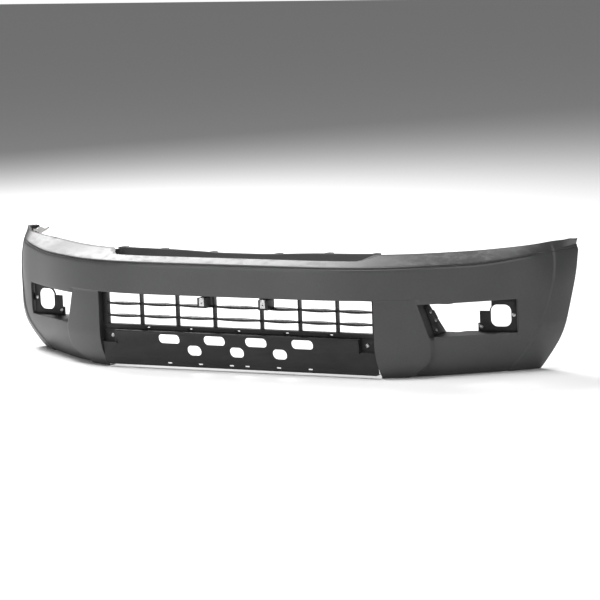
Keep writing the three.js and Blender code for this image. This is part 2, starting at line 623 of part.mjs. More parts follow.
sides.forEach(({ name, sign, hand }) => {
  const screwAt = (label, x, y, z, turnZ) => {
    const holder = new THREE.Group();
    holder.position.set(sign * x, y, z);
    holder.rotation.z = sign * turnZ;
    bumper.add(holder);
    add(label, screwGeometry, zinc, holder);
  };
  const lampFrame = new THREE.Group();
  lampFrame.position.set(sign * LAMP.x, LAMP.y, 0);
  lampFrame.rotation.z = sign * LAMP.turn * DEG;
  bumper.add(lampFrame);
  add(`fog_lamp_plate_${name}`, hand(plateGeometry), trimPlastic, lampFrame);
  LAMP_SCREWS.forEach(([x, z], i) => {
    const across = (x - LAMP.x) / Math.cos(LAMP.turn * DEG);
    add(`lamp_plate_screw_${name}_${i + 1}`, screwGeometry, zinc, lampFrame)
      .position.set(sign * across, -FIT, z);
  });

  const wallFrame = new THREE.Group();
  wallFrame.position.set(sign * (sideWallX(SIDE_PLATE.z) + FIT), SIDE_PLATE.y, SIDE_PLATE.z);
  wallFrame.rotation.y = sign * sideTilt;
  bumper.add(wallFrame);
  add(`pocket_side_plate_${name}`, hand(sideGeometry), trimPlastic, wallFrame);
  SIDE_PLATE_SCREWS.forEach((point, i) => {
    const [y, z] = sidePlatePoint(point);
    const fastener = add(`side_plate_screw_${name}_${i + 1}`, screwGeometry, zinc, wallFrame);
    fastener.position.set(sign * (SIDE_PLATE.thick + FIT), y, z);
    fastener.rotation.z = sign * 90 * DEG;
  });

  add(`plate_nut_${name}`, nutGeometry, zinc).position.set(sign * BOSS.x, 0, BOSS.z);
  add(`wing_bracket_${name}`, hand(bracketGeometry), clipPlastic)
    .position.set(sign * WING_BRACKET.x, WING_BRACKET.y, WING_BRACKET.z);
  screwAt(`wing_bracket_screw_${name}`, WING_BRACKET.x - FIT, WING_BRACKET.y + BRACKET_BORE.y,
    WING_BRACKET.z + BRACKET_BORE.z, -90 * DEG);
  screwAt(`valance_screw_${name}`, LUG.x, LUG.face - FIT, LUG.z, 0);
});

export default bumper;
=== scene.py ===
import math

import bmesh
import bpy
import numpy as np
from mathutils import Matrix, Vector


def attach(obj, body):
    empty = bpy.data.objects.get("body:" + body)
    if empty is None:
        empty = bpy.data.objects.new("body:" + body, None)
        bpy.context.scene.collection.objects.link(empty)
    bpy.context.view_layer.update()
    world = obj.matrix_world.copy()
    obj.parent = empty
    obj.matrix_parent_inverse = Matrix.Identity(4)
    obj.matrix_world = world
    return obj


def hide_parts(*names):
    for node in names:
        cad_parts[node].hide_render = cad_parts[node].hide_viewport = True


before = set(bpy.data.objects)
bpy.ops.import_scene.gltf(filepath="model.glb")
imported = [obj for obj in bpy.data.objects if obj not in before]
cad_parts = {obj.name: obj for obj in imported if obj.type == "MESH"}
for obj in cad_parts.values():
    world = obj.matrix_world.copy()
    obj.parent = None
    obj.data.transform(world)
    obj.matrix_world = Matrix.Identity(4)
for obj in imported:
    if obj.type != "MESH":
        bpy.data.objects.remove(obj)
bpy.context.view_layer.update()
scene = bpy.context.scene

# ------------------------------------------------------------------ cover skin
# The bumper cover itself: one injection moulding in a rubber-toughened polypropylene,
# about 3 mm thick, delivered in a satin charcoal primer. It carries every other part.
# Sizes are millimetres; girth is measured round the front from the centre line.
MM = 0.001
CENTRE_Y = 251.0                # from the foremost point back to the frame's origin
WALL = 3.0
GIRTH = 1147.0
LINE_STEP = 2.0
CREASE_Z, BAND_Z = 329.0, 236.0
NOSE_FOOT = -13.0               # the face is flat from here down, below the groove
LEG_STEP, CORNER_STEP, FLARE_STEP = 3.0, 17.0, 4.0
TUCK_FROM, TUCK_BY = 110.0, 50.0
RECESS_FROM, RECESS_TO = 452.0, 462.0
SHOULDER_CUT = 38.0             # depth at which the channel cuts the shoulder off
CUT_CURVE = (392.0, 462.0)      # girths between which the channel's end curves to the rear
CHANNEL = [(124.0, 350.0), (110.5, 350.6), (108.0, 348.0), (106.0, 337.0), (104.0, 335.0),
           (46.0, 334.6), (43.0, 336.0), (40.0, 343.0)]
ARCH_LIP = 12.0
POCKET_LIP = 8.0
RIM_DARK_STRIP = 2.0                  # height of the dark strip along the top edge of the wings
MOUTH = {"half": 455.0, "top": 235.0, "back": 76.0}
POCKET = {"top": 221.0, "bottom": 122.0, "inner_top": 573.0, "inner_bottom": 602.0, "outer": 815.0}


def smooth(start, stop, value):
    t = np.clip((np.asarray(value, float) - start) / (stop - start), 0, 1)
    return t * t * (3 - 2 * t)


def mix(a, b, t):
    return a + (b - a) * t


def heading(girth):
    return np.radians(38.4 * smooth(184, 812, girth) + 45.9 * smooth(882, 1130, girth))


line_girth = np.arange(0, GIRTH + 40, LINE_STEP)
line_turn = heading(line_girth[:-1] + LINE_STEP / 2)
line_x = np.concatenate([[0], np.cumsum(LINE_STEP * np.cos(line_turn))])
line_y = np.concatenate([[0], np.cumsum(LINE_STEP * np.sin(line_turn))])


def place(girth, depth, z, side=1):
    """Point at a girth, a depth behind the front line and a height, on one side."""
    turn = heading(girth)
    x = np.interp(girth, line_girth, line_x) - depth * np.sin(turn)
    y = np.interp(girth, line_girth, line_y) + depth * np.cos(turn)
    return np.stack(np.broadcast_arrays(side * x, y, z), -1)


def crease_z(g):
    return CREASE_Z + 2 * smooth(480, 640, g) + 22 * smooth(740, 1040, g)


def shoulder_depth(g):
    return 85 - 58 * smooth(760, 1000, g) - 19 * smooth(1000, 1090, g)


def shoulder_top_z(g):
    return 359 + 19 * smooth(760, 1050, g) - 6 * smooth(1085, GIRTH, g)


def channel_cut(g):
    """Depth of the channel's front edge, which curves back at each end."""
    return mix(SHOULDER_CUT, 84.0, smooth(*CUT_CURVE, g) ** 1.5)


def flange_rise(g):
    return 7 * smooth(40, 280, g)


def wingness(g):
    return smooth(880, 1030, g)


def arch_edge(z):
    return GIRTH - 152 * np.maximum(0, 1 - z / 345) ** 0.81


def flare_line(z):
    return 1012 - 144 * np.maximum(0, 1 - z / 360) ** 1.7


def leg_edge(z):
    return 586 + 0.38 * (223 - np.maximum(z, 118)) - 65 * np.maximum(0, 1 - z / 70) ** 2


def face_depth(g, z):
    below_band = 1 - smooth(BAND_Z - 2, BAND_Z + 2, z)
    on_leg = 1 - smooth(leg_edge(z) - 8, leg_edge(z) + 14, g)
    outward = smooth(640, 930, g)
    low, high = mix(118, 30, outward), mix(225, 150, outward)
    t = np.clip((z - low) / (high - low), 0, 1)
    corner = CORNER_STEP * (1 - t * t * (3 - 2 * t))
    step = below_band * (on_leg * LEG_STEP + (1 - on_leg) * corner)
    tuck = TUCK_BY * np.maximum(0, 1 - z / TUCK_FROM) ** 2
    lean = 15 * wingness(g) * np.maximum(0, (z - 250) / 110) ** 2
    flare = FLARE_STEP * smooth(flare_line(z) - 4, flare_line(z) + 8, g)
    return step + tuck + lean - flare


def girth_at(x, z):
    """Girth at which the face, at this height, passes through a plane X."""
    g = np.arange(300, 1000, 2.0)
    across = np.interp(g, line_girth, line_x) - face_depth(g, z) * np.sin(heading(g))
    return np.interp(x, across, g)


def pocket_inner_x(z):
    low, high = POCKET["bottom"], POCKET["top"]
    t = (np.clip(z, low, high) - low) / (high - low)
    return mix(POCKET["inner_bottom"], POCKET["inner_top"], t)


# Columns of the surface grid stand at fixed stations between lines that the moulding
# follows: the mouth's side, the leg's edge, the pocket's sides, the flare, the arch.
SPANS = [34, 9, 5, 12, 12, 26, 12, 9, 14]
AT_MOUTH, AT_INNER, AT_OUTER = sum(SPANS[:2]), sum(SPANS[:4]) + 6, sum(SPANS[:6])
COLUMNS = sum(SPANS) + 1


def column_girths(z):
    low, high = POCKET["bottom"], POCKET["top"]
    z = max(0.0, float(z))
    zp = min(max(z, low), high)
    mouth = girth_at(MOUTH["half"], min(z, BAND_Z))
    inner = girth_at(pocket_inner_x(zp), zp)
    outer = girth_at(POCKET["outer"], zp)
    if z < low:
        inner += leg_edge(z) - leg_edge(low)
        foot = girth_at(pocket_inner_x(low), low)
        share = (outer - foot) / (flare_line(low) - foot)
        outer = inner + share * (flare_line(z) - inner)
    flare = float(flare_line(z))
    knots = [0, min(430, mouth - 26), mouth, mouth + 16, inner - 18, inner + 18, outer,
             flare - 7, flare + 11, float(arch_edge(z))]
    stations = [0.0]
    for i, count in enumerate(SPANS):
        stations.extend(mix(knots[i], knots[i + 1], (k + 1) / count) for k in range(count))
    return np.array(stations)


def top_rows(g):
    """Rows from the rear lip, or the channel's flange, forward to the groove's nose."""
    recess = 1 - smooth(RECESS_FROM, RECESS_TO, g)
    wing = wingness(g)
    depth, top = shoulder_depth(g), shoulder_top_z(g)
    crease = crease_z(g)
    base = face_depth(g, crease)
    lip_depth, lip_z = depth + mix(2, 8, wing), top - mix(9, 2, wing)

    def shoulder(d):
        t = (d - 3) / (depth - 3)
        return mix(base + 3, depth, t), mix(crease + 4, top, t * (1.3 - 0.3 * t))

    rows = []
    for i, (d, z) in enumerate(CHANNEL):
        t = i / (len(CHANNEL) - 1)
        lift = flange_rise(g) * (1 if i < 3 else 0)
        d = d + (channel_cut(g) - SHOULDER_CUT) * (1 if i > 4 else 0)
        z = z + (1 if i > 6 else 0) * 7 * smooth(*CUT_CURVE, g)
        rows.append((mix(mix(lip_depth, depth, t), d, recess), mix(mix(lip_z, top, t), z + lift, recess)))
    for share in np.linspace(0.96, 0.0, 12):
        far = shoulder(mix(3.0, depth, share))
        near = shoulder(mix(3.0, channel_cut(g), share / 0.96))
        rows.append((mix(far[0], near[0], recess), mix(far[1], near[1], recess)))
    return rows, base, crease


def surface_rows():
    """Girths, depths and heights of every row of the surface, top to bottom."""
    g_top = column_girths(340)
    rows = []
    shoulder_rows, base, crease = top_rows(g_top)
    for depth, z in shoulder_rows:
        rows.append((g_top, depth, z))
    fade = smooth(905, 1010, g_top)
    groove = 4.2 * (1 - fade)
    soft = mix(1.0, 3.0, fade)
    nose = [(1.9 + 0.3 * fade, 2.6), (1.2 + 0.5 * groove, 1.7), (1.0 + groove, 0.9), (1.0 + groove, -1.4),
            (1.0 + 0.6 * groove, -2.4), (2.1, -3.4), (1.3, -4.9), (0.65, -6.9), (0.2 * soft, -9.4),
            (0.0, NOSE_FOOT)]
    for push, drop in nose:
        z = crease + drop
        rows.append((g_top, face_depth(g_top, z) + push, z))
    for t in np.linspace(0.08, 1.0, 13):
        g = column_girths(mix(float(crease[-1]) + NOSE_FOOT, BAND_Z + 5, t))
        z = mix(crease_z(g) + NOSE_FOOT, BAND_Z + 5, t)
        rows.append((g, face_depth(g, z), z))
    heights = [239.0, 238.0, 237.2, 236.4, 235.6, 235.0, 234.0, 229.0]
    heights += list(np.linspace(POCKET["top"], POCKET["bottom"], 22))
    heights += [114, 106, 98, 90, 82, 74, 66, 58, 51.5, 45, 39, 33, 27.5, 22, 17, 12, 8, 4, 1.2]
    marks = {}
    for z in heights:
        marks[z] = len(rows)
        g = column_girths(z)
        rows.append((g, face_depth(g, z), np.full_like(g, z)))
    g = column_girths(0)
    for push, z in ((0.4, 0.0), (3.0, 0.0), (10.5, 1.5), (18.0, 3.0)):
        rows.append((g, face_depth(g, 0) + push, np.full_like(g, z)))
    return rows, marks


rows, marks = surface_rows()
ROWS = len(rows)
right = np.array([place(g, depth, z) for g, depth, z in rows])
left = right[:, :0:-1] * np.array([-1, 1, 1])
grid = np.concatenate([left, right], 1)
MIDDLE = COLUMNS - 1
WIDTH = 2 * COLUMNS - 1
R_MOUTH, R_POCKET_TOP, R_POCKET_BOTTOM = marks[235.0], marks[POCKET["top"]], marks[POCKET["bottom"]]

skin = bmesh.new()
verts = [[skin.verts.new(p) for p in row] for row in grid]
bevel_layer = skin.edges.layers.float.new("bevel_weight_edge")


def in_mouth(i, j):
    return j >= R_MOUTH and MIDDLE - AT_MOUTH <= i < MIDDLE + AT_MOUTH


def in_pocket(i, j):
    k = i - MIDDLE if i >= MIDDLE else MIDDLE - 1 - i
    return R_POCKET_TOP <= j < R_POCKET_BOTTOM and AT_INNER <= k < AT_OUTER


for j in range(ROWS - 1):
    for i in range(WIDTH - 1):
        if not in_mouth(i, j) and not in_pocket(i, j):
            skin.faces.new((verts[j][i], verts[j + 1][i], verts[j + 1][i + 1], verts[j][i + 1]))


def run_back(path, backs, shares, closed=False):
    """A wall running straight back (+Y) from a path of surface vertices to given depths."""
    lines = []
    for v, back in zip(path, backs):
        x, y, z = v.co
        end = max(back, y + 6.0)
        lines.append([v] + [skin.verts.new((x, mix(y, end, s), z)) for s in shares])
    count = len(lines)
    for a in range(count if closed else count - 1):
        b = (a + 1) % count
        for k in range(len(shares)):
            skin.faces.new((lines[a][k], lines[a][k + 1], lines[b][k + 1], lines[b][k]))
    return lines


def crease_edges(path, weight, closed=False):
    pairs = list(zip(path, path[1:])) + ([(path[-1], path[0])] if closed else [])
    for a, b in pairs:
        edge = skin.edges.get((a, b))
        if edge:
            edge[bevel_layer] = weight


# The mouth's flange, from the foot of one leg over the top to the other.
mouth_l, mouth_r = MIDDLE - AT_MOUTH, MIDDLE + AT_MOUTH
mouth_path = [verts[j][mouth_l] for j in range(ROWS - 1, R_MOUTH, -1)]
mouth_path += [verts[R_MOUTH][i] for i in range(mouth_l, mouth_r + 1)]
mouth_path += [verts[j][mouth_r] for j in range(R_MOUTH + 1, ROWS)]
mouth_lines = run_back(mouth_path, [MOUTH["back"]] * len(mouth_path), (0.08, 0.3, 0.55, 0.8, 1.0))
crease_edges(mouth_path[3:-3], 0.8)
for corner in (ROWS - 1 - R_MOUTH, ROWS - 1 - R_MOUTH + 2 * AT_MOUTH):
    crease_edges(mouth_lines[corner][1:], 1.0)


def pocket_back(x, z):
    slant = 150 + (226 - z) * 72 / 110
    behind = np.interp(x, [520, 700, 860], [212, 256, 297])
    return float(mix(slant, behind, smooth(640, 660, x)))


for side in (1, -1):
    inner, outer = MIDDLE + side * AT_INNER, MIDDLE + side * AT_OUTER
    step = side
    loop = [verts[R_POCKET_TOP][i] for i in range(inner, outer, step)]
    loop += [verts[j][outer] for j in range(R_POCKET_TOP, R_POCKET_BOTTOM)]
    loop += [verts[R_POCKET_BOTTOM][i] for i in range(outer, inner, -step)]
    loop += [verts[j][inner] for j in range(R_POCKET_BOTTOM, R_POCKET_TOP, -1)]
    if side < 0:
        loop.reverse()
    backs = [pocket_back(abs(v.co.x), v.co.z) for v in loop]
    lines = run_back(loop, backs, (0.05, 0.2, 0.4, 0.6, 0.8, 1.0), closed=True)
    crease_edges(loop, 1.0, closed=True)

    # A narrow lip hangs down all along the back edge of the pocket's ceiling.
    roof = sorted((line[-1] for line in lines if line[-1].co.z > POCKET["top"] - 0.5), key=lambda v: v.co.x)
    lip = [skin.verts.new((v.co.x, v.co.y + 0.2, v.co.z - POCKET_LIP)) for v in roof]
    for a in range(len(roof) - 1):
        skin.faces.new((roof[a], lip[a], lip[a + 1], roof[a + 1]))
    crease_edges(roof, 0.6)
    for line in lines:
        v = line[0]
        if any(v is verts[j][i] for j in (R_POCKET_TOP, R_POCKET_BOTTOM) for i in (inner, outer)):
            crease_edges(line[1:], 1.0)

    # The wheel-arch lip, turned in all the way down the end of the wing.
    end = MIDDLE + side * (COLUMNS - 1)
    lip_rows = range(len(CHANNEL), ROWS - 3)
    edge = [verts[j][end] for j in lip_rows]
    turned = []
    for j, v in zip(lip_rows, edge):
        g, depth, z = (float(values[-1]) for values in rows[j])
        inward = [place(g, depth + ARCH_LIP * share, z, side) for share in (0.15, 0.55, 1.0)]
        turned.append([v] + [skin.verts.new(point) for point in inward])
    for a, b in zip(turned, turned[1:]):
        for k in range(3):
            skin.faces.new((a[k], b[k], b[k + 1], a[k + 1]))
    crease_edges(edge, 1.0)

bmesh.ops.remove_doubles(skin, verts=skin.verts, dist=0.01)
bmesh.ops.recalc_face_normals(skin, faces=skin.faces)
probe = min(skin.faces, key=lambda f: (f.calc_center_median() - Vector((0, 0, 290))).length)
if probe.normal.y > 0:
    bmesh.ops.reverse_faces(skin, faces=skin.faces)


def to_row_frame(bm):
    """Millimetres with Y = 0 at the foremost point, into metres in the frame's axes."""
    for v in bm.verts:
        v.co = Vector((v.co.x * MM, (v.co.y - CENTRE_Y) * MM, v.co.z * MM))


def new_object(name, mesh):
    obj = bpy.data.objects.new(name, mesh)
    scene.collection.objects.link(obj)
    return obj


def from_bmesh(name, bm):
    to_row_frame(bm)
    mesh = bpy.data.meshes.new(name)
    bm.to_mesh(mesh)
    bm.free()
    return new_object(name, mesh)


def bake_modifiers(obj, sharp_angle=None):
    """Applies an object's modifiers, so that its mesh is plain."""
    graph = bpy.context.evaluated_depsgraph_get()
    mesh = bpy.data.meshes.new_from_object(obj.evaluated_get(graph))
    obj.modifiers.clear()
    old, obj.data = obj.data, mesh
    bpy.data.meshes.remove(old)
    mesh.name = obj.name
    mesh.shade_smooth()
    if sharp_angle is not None:
        mesh.set_sharp_from_angle(angle=math.radians(sharp_angle))
    return obj


def modifier(obj, kind, **settings):
    made = obj.modifiers.new(kind.lower(), kind)
    for key, value in settings.items():
        setattr(made, key, value)
    return made


cover = from_bmesh("bumper_cover", skin)
modifier(cover, "BEVEL", limit_method="WEIGHT", width=3.2 * MM, segments=3, use_clamp_overlap=True)
modifier(cover, "SOLIDIFY", thickness=WALL * MM, offset=-1, use_quality_normals=True)
bake_modifiers(cover)


def outline_block(points, low, high, holes=()):
    """A flat piece: an outline in X and Y, with round holes, between two heights."""
    bm = bmesh.new()
    rims = [[bm.verts.new((x, y, high)) for x, y in ring] for ring in [points, *holes]]
    edges = [bm.edges.new((a, b)) for rim in rims for a, b in zip(rim, rim[1:] + rim[:1])]
    made = bmesh.ops.triangle_fill(bm, edges=edges, use_beauty=True)
    faces = [f for f in made["geom"] if isinstance(f, bmesh.types.BMFace)]
    out = bmesh.ops.extrude_face_region(bm, geom=faces)
    moved = [v for v in out["geom"] if isinstance(v, bmesh.types.BMVert)]
    bmesh.ops.translate(bm, verts=moved, vec=(0, 0, low - high))
    bmesh.ops.recalc_face_normals(bm, faces=bm.faces)
    return bm


def arc(cx, cy, radius, start, stop, steps):
    return [(cx + radius * math.cos(math.radians(mix(start, stop, k / steps))),
             cy + radius * math.sin(math.radians(mix(start, stop, k / steps)))) for k in range(steps + 1)]


def boolean(obj, other, operation, solver="MANIFOLD"):
    modifier(obj, "BOOLEAN", operation=operation, object=other, solver=solver)
    bake_modifiers(obj, 40)
    bpy.data.objects.remove(other)


def block(bm, x0, x1, y0, y1, z0, z1):
    centre = Matrix.Translation(((x0 + x1) / 2, (y0 + y1) / 2, (z0 + z1) / 2))
    size = Matrix.Diagonal((x1 - x0, y1 - y0, z1 - z0, 1))
    return bmesh.ops.create_cube(bm, size=1, matrix=centre @ size)["verts"]


def both_sides(values):
    return [-v for v in values] + list(values)


# Six tongues stand out behind the channel's flange, each with a hole for a grille clip.
TONGUES = [109.0, 274.0, 420.0]
TONGUE = {"depth": 133.0, "radius": 12.0, "hole": 4.5, "thick": 3.0}
added = bmesh.new()
for x in both_sides(TONGUES):
    girth = abs(x) + 1
    y = float(place(girth, TONGUE["depth"], 0)[1])
    z = 350 + float(flange_rise(girth))
    foot = y - 16
    tip = arc(x, y, TONGUE["radius"], 0, 180, 14)
    ring = [(x - 17, foot), (x + 17, foot), (x + 13, y - 7), *tip, (x - 13, y - 7)]
    hole = arc(x, y, TONGUE["hole"], 0, -342, 19)
    piece = outline_block(ring, z - TONGUE["thick"], z, [hole])
    mesh = bpy.data.meshes.new("tongue")
    piece.to_mesh(mesh)
    piece.free()
    added.from_mesh(mesh)
    bpy.data.meshes.remove(mesh)

# Tabs that other parts screw to: beside the mouth, behind the lamp plates, on the wings.
FIT = 0.35
LAMP = {"x": 764.0, "y": 247.0, "z": 170.0, "turn": math.radians(10)}
LAMP_SCREWS = [(802.0, 173.0), (706.0, 137.0)]
BRACKET = {"x": 893.0, "y": 440.0, "z": 357.0, "thick": 2.5}


def wing_inside_x(y, z):
    g = np.arange(1040, GIRTH, 1.0)
    points = place(g, face_depth(g, z) + 1.5, z)
    return float(np.interp(y, points[:, 1], points[:, 0]))


def lamp_frame(side):
    """Places a lamp plate's own frame on one side; the left hand's X is mirrored."""
    turned = Matrix.Translation((LAMP["x"], LAMP["y"], 0)) @ Matrix.Rotation(LAMP["turn"], 4, "Z")
    return Matrix.Diagonal((side, 1, 1, 1)) @ turned


for side in (1, -1):
    block(added, *sorted((side * 406, side * 456)), 57.4, 60.4, 88, 110)
    behind = 3 + FIT
    (outer_x, outer_z), (inner_x, inner_z) = LAMP_SCREWS
    for x0, x1, z0, z1 in ((outer_x - 3.6 - LAMP["x"], 54, outer_z - 11, outer_z + 11),
                           (inner_x - 11 - LAMP["x"], inner_x + 11 - LAMP["x"], 120.5, inner_z + 11)):
        tab = block(added, x0, x1, behind, behind + 3, z0, z1)
        bmesh.ops.transform(added, matrix=lamp_frame(side), verts=tab)
    post = block(added, side * (BRACKET["x"] + BRACKET["thick"] + FIT), side * 1000, 434, 452, 329, 345)
    for v in post:
        if abs(v.co.x) > 950:
            v.co.x = side * wing_inside_x(v.co.y, v.co.z)
bmesh.ops.recalc_face_normals(added, faces=added.faces)
boolean(cover, from_bmesh("tongues_and_tabs", added), "UNION")
for v in cover.data.vertices:
    v.co.z = max(v.co.z, 0.0)


class Value:
    """An output of a material's node, which adds and multiplies as a number does."""

    def __init__(self, tree, socket):
        self.tree, self.socket = tree, socket

    def node(self, kind, settings, inputs, output=0):
        """Any node: its settings first, then its sockets' values or links."""
        made = self.tree.nodes.new("ShaderNode" + kind)
        for key, value in settings.items():
            setattr(made, key, value)
        for key, value in inputs.items():
            if isinstance(value, Value):
                self.tree.links.new(value.socket, made.inputs[key])
            else:
                made.inputs[key].default_value = value
        return Value(self.tree, made.outputs[output])

    def maths(self, operation, *values):
        return self.node("Math", {"operation": operation}, dict(enumerate(values)))

    def __add__(self, other):
        return self.maths("ADD", self, other)

    def __sub__(self, other):
        return self.maths("SUBTRACT", self, other)

    def __rsub__(self, other):
        return self.maths("SUBTRACT", other, self)

    def __mul__(self, other):
        return self.maths("MULTIPLY", self, other)

    __radd__, __rmul__ = __add__, __mul__

    def between(self, low, high):
        """0 below one value and 1 above the other, smooth between them."""
        return self.node("MapRange", {"interpolation_type": "SMOOTHSTEP"},
                         {"Value": self, "From Min": low, "From Max": high})

    def blend(self, dark, light):
        """A colour between two, by this value."""
        return self.node("Mix", {"data_type": "RGBA"}, {0: self, 6: dark, 7: light}, 2)

    def noise(self, scale, detail=3.0, rough=0.5):
        """Noise over this position, in cells a metre."""
        return self.node("TexNoise", {}, {"Vector": self, "Scale": scale, "Detail": detail,
                                          "Roughness": rough})

    def part(self, axis):
        return self.node("SeparateXYZ", {}, {0: self}, axis)


def new_material(name, **constants):
    """A material, its shader, object coordinates and surface normal."""
    material = bpy.data.materials.new(name)
    material.use_nodes = True
    tree = material.node_tree
    shader = tree.nodes["Principled BSDF"]
    for key, value in constants.items():
        shader.inputs[key.replace("_", " ")].default_value = value
    place_socket = tree.nodes.new("ShaderNodeTexCoord").outputs["Object"]
    normal_socket = tree.nodes.new("ShaderNodeNewGeometry").outputs["Normal"]
    return material, shader, Value(tree, place_socket), Value(tree, normal_socket)


def finish_material(shader, colour, roughness, height, strength, distance):
    """Links what varies over the surface to the shader."""
    tree = colour.tree
    tree.links.new(colour.socket, shader.inputs["Base Color"])
    tree.links.new(roughness.socket, shader.inputs["Roughness"])
    bump = height.node("Bump", {}, {"Height": height, "Strength": strength, "Distance": distance})
    tree.links.new(bump.socket, shader.inputs["Normal"])


def grey(value, warm=0.0):
    return (value * (1 + warm), value, value * (1 - warm), 1.0)


# Satin primer outside: faint orange peel, a little dust on top, hazy patches in the gloss. The back of the
# moulding is bare plastic, duller, with fine flow marks. The same dark tone is painted shade on the walls of
# the mouth and the pockets and in the channel behind the shoulder, and it also lays a dark strip along the
# top edge of the wings.
primer, shader, spot, facing = new_material("primed_cover", Specular_IOR_Level=0.55)
# Marks the bare back of the moulding, and the walls and the channel where the dark tone is painted shade.
inside = spot.node("Attribute", {"attribute_name": "inside"}, {}, 2)
haze = spot.noise(7.0, 4.0, 0.6)
fine = spot.noise(150.0, 4.0, 0.65)
peel = spot.noise(420.0, 2.0, 0.5)
stretched = spot.node("VectorMath", {"operation": "MULTIPLY"}, {0: spot, 1: (9.0, 9.0, 60.0)})
flow = stretched.noise(2.0, 4.0, 0.6)
upward = facing.part(2).between(0.45, 0.95)
dust = upward * spot.noise(38.0, 5.0, 0.7).between(0.45, 0.72)
cracks = spot.node("TexVoronoi", {"feature": "DISTANCE_TO_EDGE"}, {"Vector": spot, "Scale": 26.0})
scuffs = cracks.between(0.02, 0.0) * spot.noise(11.0, 3.0, 0.5).between(0.60, 0.72)
tone = haze * 0.55 + fine * 0.45
coat = tone.between(0.25, 0.75).blend(grey(0.038, -0.01), grey(0.050, -0.01))
coat = (dust * 0.35 + scuffs * 0.10).blend(coat, grey(0.15, 0.02))
# Dark tone: bare plastic on the back, painted shade on the walls and in the channel.
bare_and_shade_tone = flow.between(0.3, 0.7).blend(grey(0.016), grey(0.024))
gloss = 0.36 + haze * 0.10 + fine * 0.05 + dust * 0.16 + scuffs * 0.08
finish_material(shader, inside.blend(coat, bare_and_shade_tone), gloss + inside * 0.14,
                peel * (1 - inside) * 0.5 + fine * 0.35 + flow * inside * 0.8, 0.10, 0.0012)



def nearest_girth(x, y):
    """Girth of the front line's point nearest to a place in plan."""
    return LINE_STEP * float(np.argmin((line_x - abs(x)) ** 2 + (line_y - y) ** 2))


# Faces that get the dark tone: the back is bare plastic; the mouth's and pockets' walls and the channel
# behind the shoulder are painted shade; the rim is a dark strip along the top edge of the wings.
shell_mark = cover.data.attributes.new("inside", "FLOAT", "FACE")
for poly in cover.data.polygons:
    x, y, z = poly.center / MM
    y += CENTRE_Y
    nx, ny, nz = poly.normal
    behind = y - float(np.interp(abs(x), line_x, line_y))
    # Painted shade: the walls of the mouth and the pockets, and the channel behind the shoulder.
    shaded_walls = abs(ny) < 0.4 and z < 232 and (abs(x) < 470 and y > 12 or 560 < abs(x) < 828 and 116 < z < 226)
    channel = abs(x) < 466 and z > 330 and behind > float(channel_cut(abs(x))) + 2.5
    back = ny > 0.15 or nx * math.copysign(1, x) < -0.25
    # A dark strip in the same dark tone along the top edge of the wings.
    rim = z > 352 and abs(x) > 450 and z > float(shoulder_top_z(nearest_girth(x, y))) - RIM_DARK_STRIP
    shell_mark.data[poly.index].value = float(shaded_walls or channel or back or rim)


def settle(obj, material, nodes):
    """One material all over, and the nodes that the piece stands for."""
    obj.data.materials.clear()
    obj.data.materials.append(material)
    for poly in obj.data.polygons:
        poly.material_index = 0
    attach(obj, "root")
    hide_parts(*nodes)


settle(cover, primer, ["cover_skin"])

# ------------------------------------------------------------------ lower grille
# The insert in the mouth: black polypropylene, one moulding of a frame, six posts and
# two slats that dip between posts. Two hollow bosses carry the nuts for a number plate.
GRILLE = {"half": 454.4, "top": 234.4, "bottom": 119.8, "front": 56.0, "back": 74.0}
CELL_ROWS = [(133.0, 156.5), (161.5, 193.5), (198.5, 229.0)]
POSTS, POST_WIDTH, CELL_END = [78.0, 203.0, 325.0], 6.0, 439.0
CLIP_SLOT = {"at": [0.0, 160.0, 304.0], "z": 125.0, "width": 16.0, "height": 5.0}
BOSS = {"x": 101.0, "z": 211.0, "half": 15.0, "front": 26.0, "wall": 2.5, "hole": 5.0}
NUT_SLOT = 17.0                 # width of the slot in a boss's top, for its spring nut
SLAT_DIP = 6.0                  # how far a slat's front edge dips between two posts

# Moulded trim: black, grained, with faint dust.
trim, shader, spot, facing = new_material("moulded_trim", Specular_IOR_Level=0.32)
grain = spot.node("TexVoronoi", {"feature": "SMOOTH_F1"}, {"Vector": spot, "Scale": 640.0, "Smoothness": 0.6})
cloud = spot.noise(13.0, 4.0, 0.6)
speck = spot.noise(260.0, 3.0, 0.6)
dust = facing.part(2).between(0.5, 0.95) * spot.noise(46.0, 4.0, 0.7).between(0.40, 0.75)
colour = cloud.between(0.3, 0.7).blend(grey(0.011), grey(0.017))
colour = (dust * 0.12).blend(colour, grey(0.08, 0.03))
finish_material(shader, colour, 0.38 + cloud * 0.12 + speck * 0.08 + dust * 0.20,
                grain * 0.6 + speck * 0.4, 0.16, 0.0010)

rails = bmesh.new()
half, front, back = GRILLE["half"], GRILLE["front"], GRILLE["back"]
posts = sorted(both_sides(POSTS))
for z0, z1 in ((GRILLE["bottom"], 133.0), (229.0, GRILLE["top"])):
    block(rails, -half, half, front, back, z0, z1)
grille = from_bmesh("lower_grille", rails)


def union_blocks(obj, boxes, operation="UNION"):
    for box in boxes:
        bm = bmesh.new()
        block(bm, *box)
        boolean(obj, from_bmesh("tool", bm), operation)


